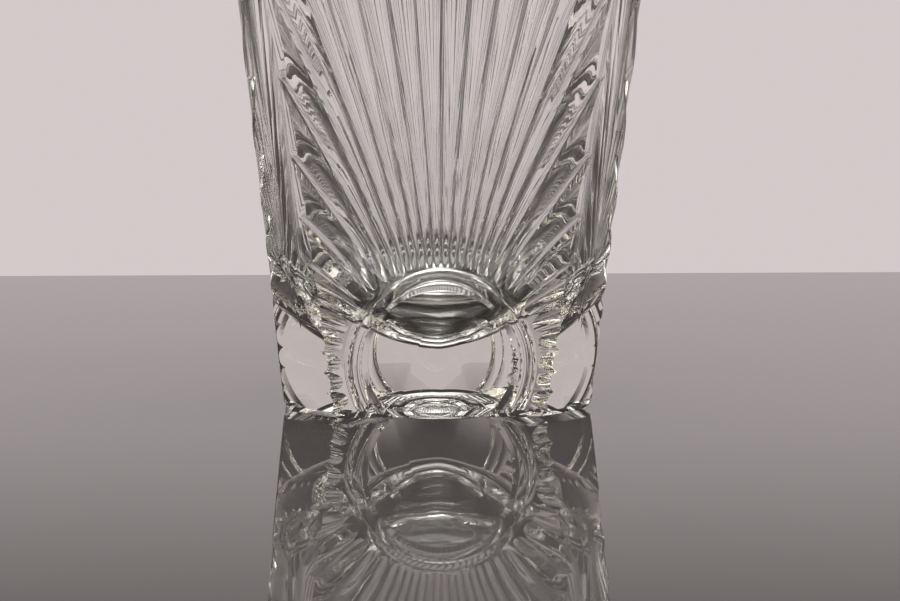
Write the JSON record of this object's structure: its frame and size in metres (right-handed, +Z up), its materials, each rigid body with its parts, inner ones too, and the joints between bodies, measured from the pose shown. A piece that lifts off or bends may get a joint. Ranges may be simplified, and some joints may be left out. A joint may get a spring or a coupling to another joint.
{
  "type": "cut crystal vase",
  "caption": "Square clear crystal vase that widens to the rim, with corner facets, a thick foot and a rising sun of fanned rays over a ringed disc cut into every side.",
  "frame": {"origin": "middle of the underside, in the plane of the table", "axes": "+Z up the vase's own upright axis, -Y out of the front side, +X to the right seen from the front"},
  "size_m": [0.1318, 0.1318, 0.25],
  "materials": {
    "crystal_clear": "clear lead crystal, fire polished",
    "crystal_cut": "clear lead crystal, ray cut and polished"
  },
  "bodies": {
    "root": {"foot_block": "crystal_clear", "panel_front": "crystal_cut", "panel_right": "crystal_cut", "panel_back": "crystal_cut", "panel_left": "crystal_cut", "sun_front": "crystal_clear", "sun_right": "crystal_clear", "sun_back_side": "crystal_clear", "sun_left": "crystal_clear", "corner_front_right": "crystal_clear", "corner_back_right": "crystal_clear", "corner_back_left": "crystal_clear", "corner_front_left": "crystal_clear", "rim_band": "crystal_clear"}
  },
  "joints": []
}
